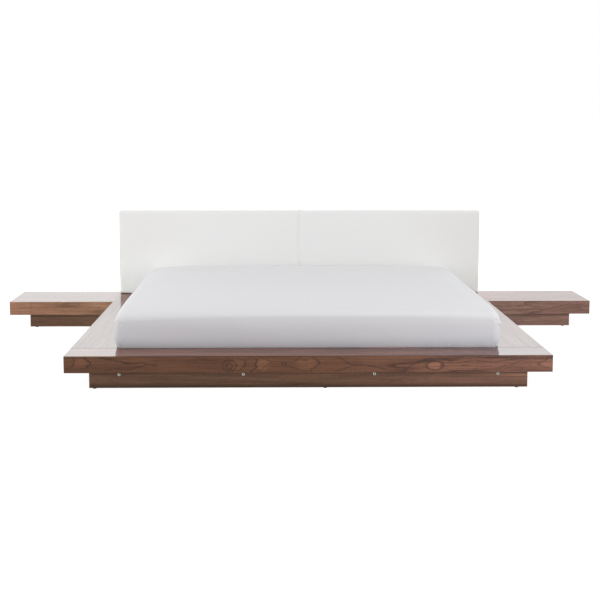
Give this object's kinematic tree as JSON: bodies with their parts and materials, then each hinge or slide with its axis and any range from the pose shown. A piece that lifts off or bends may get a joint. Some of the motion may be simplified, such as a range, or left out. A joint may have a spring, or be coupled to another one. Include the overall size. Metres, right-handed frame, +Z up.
{
  "type": "platform waterbed",
  "caption": "Low walnut platform waterbed: wide flat surround on a set-back plinth, side table wings, padded pale headboard and white soft-side water mattress.",
  "frame": {"origin": "on the floor, in the middle of the bed's outer rectangle", "axes": "+X across the bed to the right seen from the foot end, +Y towards the headboard, +Z up"},
  "size_m": [3.45, 2.32, 0.668],
  "materials": {
    "walnut": "satin",
    "plinth_walnut": "satin",
    "raw_board": "matte",
    "softwood": "matte",
    "zinc_steel": "satin",
    "foot_plastic": "matte",
    "leatherette": "satin",
    "pale_foam": "matte",
    "jersey": "matte",
    "liner_vinyl": "satin",
    "core_vinyl": "satin",
    "heater_film": "matte",
    "control_plastic": "satin",
    "dial_plastic": "satin",
    "lead_rubber": "matte"
  },
  "bodies": {
    "bed": {"front_deck_panel": "walnut", "left_deck_panel": "walnut", "right_deck_panel": "walnut", "front_fascia": "walnut", "left_fascia": "walnut", "right_fascia": "walnut", "front_inner_rail": "plinth_walnut", "left_inner_rail": "plinth_walnut", "right_inner_rail": "plinth_walnut", "rear_rail": "plinth_walnut", "plinth_front": "plinth_walnut", "plinth_rear": "plinth_walnut", "plinth_left": "plinth_walnut", "plinth_right": "plinth_walnut", "rib_1": "raw_board", "rib_2": "raw_board", "rib_3": "raw_board", "rib_4": "raw_board", "platform_board_left": "raw_board", "platform_board_right": "raw_board", "plinth_bolt_1": "zinc_steel", "plinth_bolt_2": "zinc_steel", "plinth_bolt_3": "zinc_steel", "plinth_bolt_4": "zinc_steel", "bed_foot_1": "foot_plastic", "bed_foot_2": "foot_plastic", "bed_foot_3": "foot_plastic", "bed_foot_4": "foot_plastic", "bed_foot_5": "foot_plastic", "bed_foot_6": "foot_plastic", "left_table_top": "walnut", "left_table_front_fascia": "walnut", "left_table_end_fascia": "walnut", "left_table_plinth_front": "plinth_walnut", "left_table_plinth_end": "plinth_walnut", "left_table_foot_front": "foot_plastic", "left_table_foot_rear": "foot_plastic", "right_table_top": "walnut", "right_table_front_fascia": "walnut", "right_table_end_fascia": "walnut", "right_table_plinth_front": "plinth_walnut", "right_table_plinth_end": "plinth_walnut", "right_table_foot_front": "foot_plastic", "right_table_foot_rear": "foot_plastic", "headboard_cover": "leatherette", "headboard_board": "raw_board", "headboard_foam": "pale_foam", "headboard_post_left": "softwood", "headboard_post_right": "softwood", "mattress_cover_top": "jersey", "mattress_cover_base": "jersey", "foam_frame": "pale_foam", "safety_liner": "liner_vinyl", "water_core": "core_vinyl", "heater_pad": "heater_film", "heater_lead": "lead_rubber", "heater_control": "control_plastic"},
    "slider": {"zip_slider": "zinc_steel"},
    "dial": {"control_dial": "dial_plastic"},
    "cap": {"valve_cap": "dial_plastic"}
  },
  "joints": [
    {"name": "zip_travel", "type": "slide", "parent": "bed", "child": "slider", "axis": [1, 0, 0], "range_m": [0, 1.56]},
    {"name": "dial_turn", "type": "hinge", "parent": "bed", "child": "dial", "pos_m": [0.184, 1.122, 0.043], "axis": [0, 1, 0], "range_deg": [-135, 135]},
    {"name": "cap_unscrew", "type": "hinge", "parent": "bed", "child": "cap", "pos_m": [0, -0.505, 0.3185], "axis": [0, 0, 1], "range_deg": [0, 540]}
  ]
}
